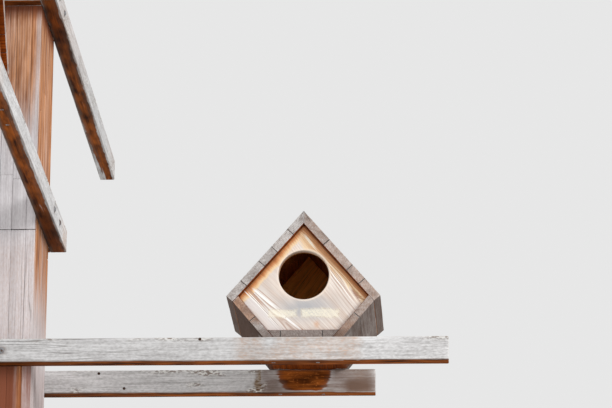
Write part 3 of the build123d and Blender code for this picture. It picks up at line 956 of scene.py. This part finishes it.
# How far the heads are let into the wood, and where the screws stand from the box's middle
BOLT_SUNK, NAIL_SUNK, SCREW_SUNK, SCREWS_FROM_BOX = 0.0005, 0.0002, 0.0006, (-0.079, 0.040)
ARM_MAKE = {"ease": ARM_EASE, "step": 0.003, "along": 0.011, "relief": 0.0006}


def box_distance(level, outward):
    """How far out the middle of a pair's box is, or None where the pair has no box."""
    floor = f"{level}_box_floor"
    return node_box(floor).mean(0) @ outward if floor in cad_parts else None


def fastenings(node, bolts, outward, across, box_at):
    """Bolt heads on an arm's outer face, nails in its face to the front, and screws up into its box."""
    low, high = node_box(node)
    centre = (low + high) / 2
    face = across if centre @ across > 0 else -across
    outer = max(low @ face, high @ face) - BOLT_SUNK
    lathe(f"{node}_bolt_heads".title(), DOME, [Z * centre[2] + face * outer + outward * p for p in bolts],
          face, SCREW_LOOK)
    if node in NAILS:
        spots = [(x, low[1] + NAIL_SUNK, z) for x, z in NAILS[node]]
        lathe(f"{node}_nails".title(), NAIL, spots, -Y, NAIL_LOOK, 12)
    if box_at is not None:
        foot = face * (centre @ face) + Z * (low[2] + SCREW_SUNK)
        lathe(f"{node}_box_screws".title(), SUNK, [foot + outward * (box_at + d) for d in SCREWS_FROM_BOX],
              -Z, SCREW_LOOK, 12)


def arm_pair(level, outward, seed):
    """A pair's two arms with their fastenings, and the tie across their roots."""
    across, box_at, bolts = np.cross(Z, outward), box_distance(level, outward), BOLT_PLACES[level]
    for order, which in enumerate(("long", "short")):
        node = f"{level}_{which}_arm"
        weather = arm_weather(node, outward, outward, box_at, bolts, *ARM_MARKS.get(node, ()))
        straight_board(node, outward, ARM_LOOK, seed + order, weather, wear=0.0022, **ARM_MAKE)
        fastenings(node, bolts, outward, across, box_at)
    tie = f"{level}_tie"
    straight_board(tie, across, ARM_LOOK, seed + 3, arm_weather(tie, across, outward), pith=(0.05, -0.09),
                   **ARM_MAKE)


for number, (level, outward) in enumerate(ARMS.items()):
    arm_pair(level, outward, 11 + 10 * number)


# Post

# Places of the glued seams across the front and back boards and across the two side ones
WIDE_SEAMS = (-0.118, -0.085, -0.052, -0.012, 0.018, 0.049, 0.084, 0.124)
SIDE_SEAMS = (-0.084, -0.046, -0.010, 0.028, 0.062, 0.094)
# Butt joints within the staves: a stave's number and the height
STAVE_ENDS = ((6, 4.641), (7, 4.629), (2, 4.905), (4, 5.012), (0, 4.83), (5, 4.36), (1, 4.22), (3, 3.93),
              (7, 3.81), (6, 3.42), (2, 3.2), (0, 2.9), (4, 2.55), (5, 2.2), (1, 1.9), (3, 1.4), (6, 1.2),
              (2, 0.8))
# How much higher the joints are on each next face, and how far they keep from a board's ends
JOINT_STEP, JOINT_CLEAR = 0.011, 0.05
# Above this height the rings of points are close together, and how far apart they are above and below it
CLOSE_ABOVE, CLOSE_RINGS, WIDE_RINGS = 3.6, 0.018, 0.06
# How far the first and the last ring are from a board's ends
RINGS_FROM_END = 0.006


def cladding(node, number, outward, seed):
    """One cladding board of the post, in glued staves with butt joints of their own."""
    low, high = node_box(node)[:, 2]
    wide = abs(outward[1]) > 0.5
    normal = np.array([1.0, 0.0] if wide else [0.0, 1.0])
    seams = [(s * normal, normal) for s in (WIDE_SEAMS if wide else SIDE_SEAMS)]
    joints = [(k, z - low + JOINT_STEP * number) for k, z in STAVE_ENDS
              if low + JOINT_CLEAR < z < high - JOINT_CLEAR]
    start, end = low + RINGS_FROM_END, high - RINGS_FROM_END
    close = np.arange(max(start, CLOSE_ABOVE), end, CLOSE_RINGS)
    spread = np.arange(start, close[0] - 0.02, WIDE_RINGS)
    along = np.concatenate([spread, close]) - low
    straight_board(node, Z, POST_LOOK, seed, post_weather, ease=ARM_EASE, step=0.008, along=along,
                   seams=seams, joints=joints, ink=0.18, grain=(Z, X, Y), pith=(0.06, 0.02))


# Thickness of the cap at its edge, and how much more it is in the middle
CAP_EDGE, CAP_DOME = 0.022, 0.008


def cap():
    """The cap board, its top domed by the rise of its end face."""
    low, high = node_box("post_cap")
    corners = [(low[0], low[1]), (high[0], low[1]), (high[0], high[1]), (low[0], high[1])]
    timber("Post_Cap", corners, Z * low[2], (Z, X, Y), CAP_EDGE, POST_LOOK, 99, cap_weather, ["post_cap"],
           ease=CAP_EASE, step=0.006, along=0.006, rise=CAP_DOME, caps=(0.9, 0.75, 0.6, 0.45, 0.25, 0.1),
           grain=(X, Y, Z))


for number, (face, outward) in enumerate({"front": -Y, "right": X, "back": Y, "left": -X}.items()):
    for order, part in enumerate(("lower", "upper")):
        cladding(f"cladding_{face}_{part}", number, outward, 60 + 10 * number + order)
cap()
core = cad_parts["post_core"]
core.data.materials.clear()
core.data.materials.append(CORE_WOOD)


# Nest boxes

def unit(vector):
    """A vector's direction: the vector over its length."""
    return vector / np.hypot(*vector)


def box_sections():
    """The box's sections from its widths and heights, as {piece: (corners in X and Z, its run)}.

    A board is its outer line moved inwards by its thickness. The roof's inner line meets the middle at the
    ridge, and the lower side boards' inner line crosses it at the inner corner.
    """
    eaves = np.array([HALF_WIDE, EAVES_HIGH])
    run = unit(eaves - (0, RIDGE_HIGH))
    eaves_inner = eaves + np.array([run[1], -run[0]]) * ROOF_BOARD
    ridge_inner = RIDGE_HIGH - ROOF_BOARD / run[0]
    side = unit(np.array([HALF_FOOT, 0]) - eaves_inner)
    foot_inner = HALF_FOOT - SIDE_BOARD / abs(side[1])
    fall, climb = run[1] / run[0], abs(side[1] / side[0])
    corner = (ridge_inner + foot_inner * climb) / (climb - fall)
    inner = np.array([corner, ridge_inner + corner * fall])
    floor_x = foot_inner + FLOOR_BOARD / climb
    roof = np.array([(0, RIDGE_HIGH), eaves, eaves_inner, (0, ridge_inner)])
    lower = np.array([eaves_inner, inner, (foot_inner, 0), (HALF_FOOT, 0)])
    floor = np.array([(-foot_inner, 0), (foot_inner, 0), (floor_x, FLOOR_BOARD), (-floor_x, FLOOR_BOARD)])
    panel = np.array([(floor_x, FLOOR_BOARD), inner, (0, ridge_inner), inner * MIRROR,
                      (-floor_x, FLOOR_BOARD)])
    return {"roof_right": (roof, run), "roof_left": (roof * MIRROR, run * MIRROR),
            "side_right": (lower, side), "side_left": (lower * MIRROR, side * MIRROR),
            "floor": (floor, np.array([1.0, 0.0])), "panel": (panel, run)}


def blot(v, w, middle, spread):
    """A soft round patch: 1 at its middle and falling as a bell curve with the given spread each way."""
    return np.exp(-((v - middle[0]) / spread[0]) ** 2 - ((w - middle[1]) / spread[1]) ** 2)


def panel_fields(at, middle, inward, across, seed):
    """A panel's fields: flat is the place across it and up it, grain runs down to the right at its slant and
    is bent a little at the bounds of its two lined lengths, shelter lies along the roof boards, damp below
    the entrance, inside on the inner face."""
    v, w, deep = (at - middle) @ across, (at - middle)[:, 2], (at - middle) @ inward
    roof, run = SECTIONS["roof_right"]
    out = np.array([-run[1], run[0]])
    to_right, to_left = (-(np.stack([x, w], -1) - roof[3]) @ out for x in (v, -v))
    broad = 0.030 + 0.022 * ramp(0.13, 0.24, w)
    shelter = np.clip(np.maximum(1 - to_right / broad, 1 - to_left / 0.027), 0, 1)
    shelter = np.maximum(shelter, 0.6 * ramp(0.265, 0.305, w))
    damp = 1.25 * blot(v, w, (0.010, 0.090), (0.070, 0.034))
    damp = damp + 0.25 * blot(v, w, (-0.10, 0.150), (0.040, 0.040))
    turn = np.radians(PANEL_SLANT)
    along, q = v * np.cos(turn) - w * np.sin(turn), v * np.sin(turn) + w * np.cos(turn)
    q = q - 0.11 * (along + 0.19) * window(-0.014, 0.004, 0.02, 0.05, q)
    q = q + 0.11 * (along + 0.10) * window(0.10, 0.15, 0.182, 0.197, q)
    return {"flat": np.stack([v, w, 0 * v], -1), "grain": np.stack([along, q, deep + seed * 0.37 % 5], -1),
            "shelter": shelter, "damp": damp, "inside": ramp(0.014, 0.026, deep)}


def back_panel(node, outline, origin, inward, across, seed):
    """The rear panel: the same outline carried through the thickness, with no entrance and no bare marks."""
    def weather(at, facing):
        clear_of_marks = np.outer(at[:, 2] - origin[2], Y) + FAR_OFF * X
        return {**panel_fields(at, origin, -inward, -across, 7), "flat": clear_of_marks, "damp": 0 * at[:, 0]}
    timber(node.title(), outline * MIRROR, origin, (-inward, across, Z), PANEL_THICK, PANEL_LOOK, seed,
           weather, [node], step=0.006, along=0.010, wear=0.0, caps=np.linspace(0.95, 0.1, 18))


# Of the front panel: angles round it, steps from entrance to outline and its clearance from the boards
PANEL_TURNS, PANEL_STEPS, PANEL_GAP = 216, 27, 0.0002
# Height of the wave over its face, and the steps it takes a metre through the noise
RIPPLE, RIPPLE_STEPS = 0.0007, (0, 5.159, 40.56)


def front_panel(node, outline, origin, inward, across, seed):
    """The front panel: for each angle round the entrance, a closed loop of points.

    The loop runs out over the face from the hole's rounded rim to the outline, back through the
    thickness, in over the rear face and forward through the hole. The distance to the outline is
    the nearest crossing of that ray with the outline's sides. A thin wave lifts the face.
    """
    centre = np.array([0, HOLE_HIGH])
    sides = np.roll(outline, -1, axis=0) - outline
    out = np.stack([sides[:, 1], -sides[:, 0]], -1) / np.hypot(*sides.T)[:, None]
    corner_angles = np.arctan2(*(outline - centre).T[::-1])
    even_angles = np.linspace(-np.pi, np.pi, PANEL_TURNS, endpoint=False)
    angle = np.unique(np.concatenate([even_angles, corner_angles]).round(5))
    ray = np.stack([np.cos(angle), np.sin(angle)], -1)
    lean = ray @ out.T
    meets, gap = lean > 1e-6, np.sum(out * (outline - centre), axis=1)
    reach = np.where(meets, gap / np.where(meets, lean, 1), FAR_OFF).min(1)[:, None] - PANEL_GAP
    e, share = HOLE_EASE, np.linspace(0, 1, PANEL_STEPS)
    rim_r = np.array([0, 0, 0, 0.08, 0.35, 1.0]) * e
    rim_y = np.array([PANEL_THICK, PANEL_THICK / 2, e, 0.55 * e, 0.2 * e, 0])
    r = np.concatenate([np.broadcast_to(HOLE_RADIUS + rim_r, (len(angle), len(rim_r))),
                        HOLE_RADIUS + e + share[1:] * (reach - HOLE_RADIUS - e),
                        HOLE_RADIUS + share[:0:-1] * (reach - HOLE_RADIUS)], axis=1)
    y = np.concatenate([rim_y, 0 * share[1:], 0 * share[1:] + PANEL_THICK])
    local = np.empty((*r.shape, 3))
    local[..., 0] = y
    local[..., 1:] = centre + r[..., None] * ray[:, None]
    wave = smooth_noise(np.multiply.outer(local[..., 1], RIPPLE_STEPS), 1, seed)
    local[..., 0] += RIPPLE * wave * (y < 1e-9)
    turns, steps = r.shape
    i, j = np.meshgrid(np.arange(turns), np.arange(steps), indexing="ij")
    k, m = (i + 1) % turns, (j + 1) % steps
    quads = np.stack([i * steps + j, i * steps + m, k * steps + m, k * steps + j], -1).reshape(-1, 4)
    verts = origin + (local @ np.array((inward, across, Z))).reshape(-1, 3)
    fields = panel_fields(verts, origin, inward, across, seed)
    mesh_piece(node.title(), verts, quads, np.empty((0, 3), int), fields, *PANEL_LOOK, [node])


SECTIONS = box_sections()
# Distances of the glued seams along each board, from the ridge, the eaves or the middle
BOARD_SEAMS = {"roof_left": (0.069, 0.134, 0.186, 0.259), "roof_right": (0.108, 0.203, 0.253),
               "side_left": (0.071,), "side_right": (0.059,), "floor": (-0.061, 0.052)}
# How pink the boards' ends are high up and low down, how dull, and how dark their leaning faces from damp and
# painted shade
BOARD_TONES = {"roof_left": (0.05, 0.0, -0.12, 0.9), "roof_right": (0.5, 0.0, 0.12, 0.9),
               "side_left": (1.2, 0.1, 0.0, 1.0), "side_right": (0.5, 0.7, 0.16, 0.78),
               "floor": (0.0, 0.08, -0.05, 0.9)}


def nest_box(box, across, inward, seed):
    """One box: five boards in glued staves, a back panel and the front panel with its entrance."""
    low, high = node_box(f"{box}_box_floor")
    foot = np.array([*(low + high)[:2] / 2, low[2]])
    front, rear, middle = foot - inward * BOX_DEEP / 2, foot + inward * BOX_DEEP / 2, foot + Z * BOX_MIDDLE
    for order, (piece, places) in enumerate(BOARD_SEAMS.items()):
        corners, run = SECTIONS[piece]
        start = np.zeros(2) if piece == "floor" else corners[0]
        weather = board_weather(middle, inward, across, run, *BOARD_TONES[piece])
        timber(f"{box}_box_{piece}_board".title(), corners, rear, (-inward, across, Z), BOX_DEEP, BOARD_LOOK,
               seed + order, weather, [f"{box}_box_{piece}"], seams=[(start + run * d, run) for d in places],
               bright=0.3, ink=0.9 if piece == "floor" else 0.5)
    outline = SECTIONS["panel"][0]
    inset = inward * PANEL_RECESS
    back_panel(f"{box}_box_back_panel", outline, rear - inset, inward, across, seed + 10)
    front_panel(f"{box}_box_front_panel", outline, front + inset, inward, across, seed + 11)


for number, box in enumerate(("left", "right", "front")):
    nest_box(box, *((Y, -X) if box == "front" else (X, Y)), 200 + 20 * number)


# Stage, light and camera

FLOOR_RADIUS, FLOOR_RINGS, FLOOR_TURNS = 90.0, 8, 64
PICTURE_WIDTH, SENSOR_WIDTH = 612, 36.0
# The camera's focal length in the picture's pixels, its turns in degrees and its place
FOCAL_PIXELS, YAW, PITCH, ROLL = 3600.0, 2.760, 17.15, 0.336
CAMERA_PLACE = (1.334803, -9.470031, 1.670928)


def pale_floor():
    """A flat disc at ground level, faintly mottled, its rings at distances that grow as a square."""
    r = FLOOR_RADIUS * np.linspace(0, 1, FLOOR_RINGS + 1)[1:] ** 2
    a = np.linspace(0, 2 * np.pi, FLOOR_TURNS, endpoint=False)
    ring = np.stack([np.outer(r, np.cos(a)), np.outer(r, np.sin(a)), 0 * np.outer(r, a)], -1).reshape(-1, 3)
    quads, fans = tube_faces(FLOOR_RINGS, FLOOR_TURNS)
    mesh = bpy.data.meshes.new("floor")
    faces = quads[:, ::-1].tolist() + fans[:FLOOR_TURNS, ::-1].tolist()
    mesh.from_pydata([(0, 0, 0), *ring.tolist()], [], faces)
    mat = bpy.data.materials.new("pale_floor")
    mat.use_nodes = True
    n = Nodes(mat.node_tree)
    skin = mat.node_tree.nodes["Principled BSDF"]
    mottle = n.noise(n.own_place(), 0.7, 3.0)
    n.put(skin.inputs["Base Color"], n.blend(mottle, (0.78, 0.78, 0.77, 1.0), (0.7566, 0.7566, 0.7469, 1.0)))
    n.put(skin.inputs["Roughness"], 0.8)
    mesh.materials.append(mat)
    floor = bpy.data.objects.new("floor", mesh)
    bpy.context.scene.collection.objects.link(floor)


def soft_sky():
    """A plain world: even light, and a pale grey where the camera or a reflection sees it."""
    world = bpy.data.worlds.new("soft_sky")
    bpy.context.scene.world = world
    world.use_nodes = True
    world.node_tree.nodes.clear()
    n = Nodes(world.node_tree)
    path = n.add("ShaderNodeLightPath").outputs
    seen = n.larger(path["Is Camera Ray"], n.larger(path["Is Glossy Ray"], path["Is Transmission Ray"]))
    even = n.fed("ShaderNodeBackground", {"Color": (1.0, 1.0, 1.0, 1.0), "Strength": 0.70})
    grey = n.fed("ShaderNodeBackground", {"Color": (0.80, 0.80, 0.80, 1.0), "Strength": 1.0})
    pick = n.fed("ShaderNodeMixShader", [seen, even.outputs[0], grey.outputs[0]])
    n.fed("ShaderNodeOutputWorld", {"Surface": pick.outputs[0]})


def soft_lamp(name, place, target, size, power):
    """A large square lamp aimed at a point."""
    data = bpy.data.lights.new(name, "AREA")
    data.shape, data.size, data.energy = "SQUARE", size, power
    lamp = bpy.data.objects.new(name, data)
    bpy.context.scene.collection.objects.link(lamp)
    lamp.location = place
    lamp.rotation_euler = (Vector(place) - Vector(target)).to_track_quat("Z", "Y").to_euler()


def picture_camera():
    """The picture's camera: turned left by its yaw, tipped up by its pitch, and then rolled."""
    yaw, pitch, roll = np.radians([YAW, PITCH, ROLL])
    ahead = np.array([-np.sin(yaw) * np.cos(pitch), np.cos(yaw) * np.cos(pitch), np.sin(pitch)])
    level_right = np.array([np.cos(yaw), np.sin(yaw), 0])
    level_up = np.cross(level_right, ahead)
    right = np.cos(roll) * level_right + np.sin(roll) * level_up
    place = np.eye(4)
    place[:3, :] = np.stack([right, np.cross(right, ahead), -ahead, CAMERA_PLACE], -1)
    data = bpy.data.cameras.new("camera")
    data.sensor_width = SENSOR_WIDTH
    data.lens = FOCAL_PIXELS / PICTURE_WIDTH * SENSOR_WIDTH
    data.clip_end = 500.0
    camera = bpy.data.objects.new("camera", data)
    bpy.context.scene.collection.objects.link(camera)
    camera.matrix_world = Matrix(place.tolist())
    bpy.context.scene.camera = camera


pale_floor()
soft_sky()
soft_lamp("key", place=(11.5, -7.5, 9.5), target=(0.3, 0, 4.2), size=5.0, power=1180.0)
soft_lamp("fill", place=(-5.0, -10.0, 6.0), target=(0, 0, 4.2), size=6.0, power=200.0)
picture_camera()
bpy.context.scene.view_settings.view_transform = "Standard"
